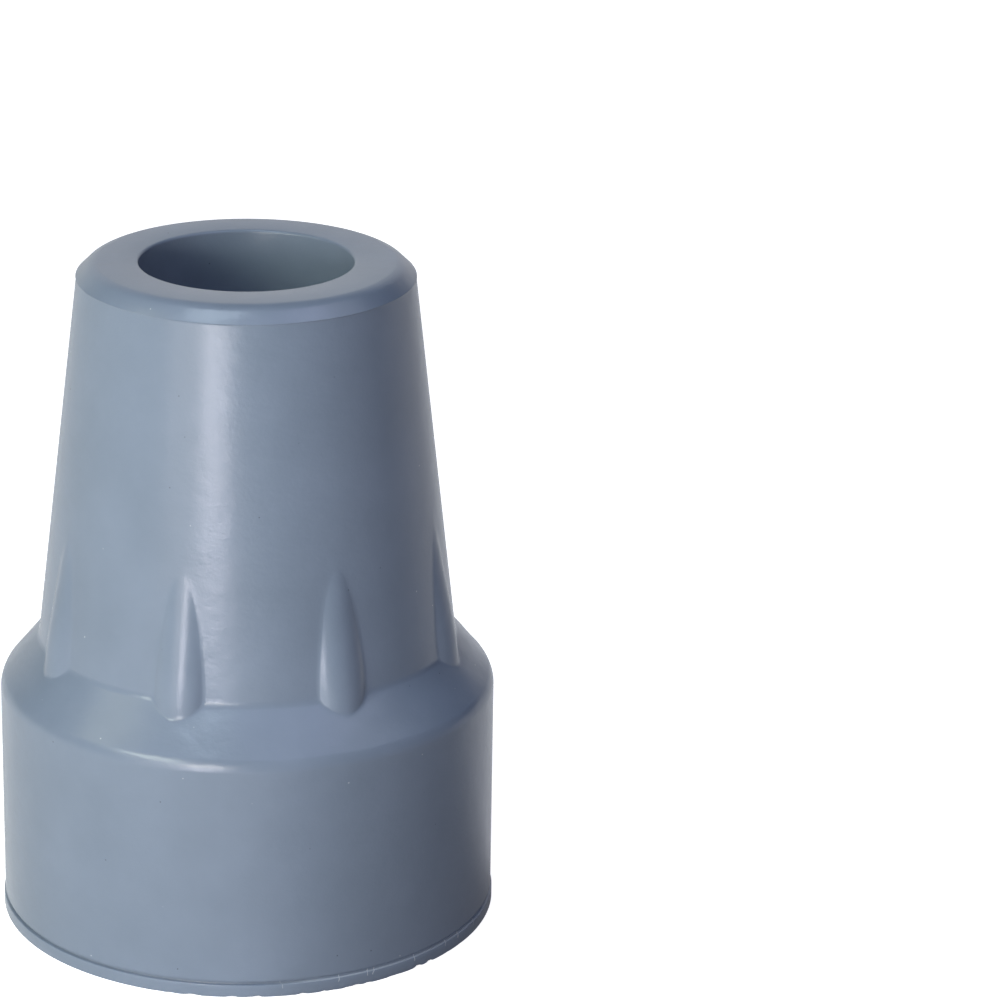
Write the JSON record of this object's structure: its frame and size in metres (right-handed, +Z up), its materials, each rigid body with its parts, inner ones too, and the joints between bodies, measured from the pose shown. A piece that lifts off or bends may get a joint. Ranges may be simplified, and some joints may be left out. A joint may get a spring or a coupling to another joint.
{
  "type": "rubber cane tip",
  "caption": "Moulded rubber cane tip with a wide round foot, a sloping shoulder with teardrop ribs, a tapering neck and a deep socket for the shaft.",
  "frame": {"origin": "centre of the base, on the surface that the tip stands on", "axes": "+Z up the axis of the socket, out of its mouth; the tip is round, so +X and +Y are equal directions across it"},
  "size_m": [0.045, 0.045, 0.0609],
  "materials": {
    "rubber": "satin blue-grey moulded rubber"
  },
  "bodies": {
    "root": {"cane_tip": "rubber"}
  },
  "joints": []
}
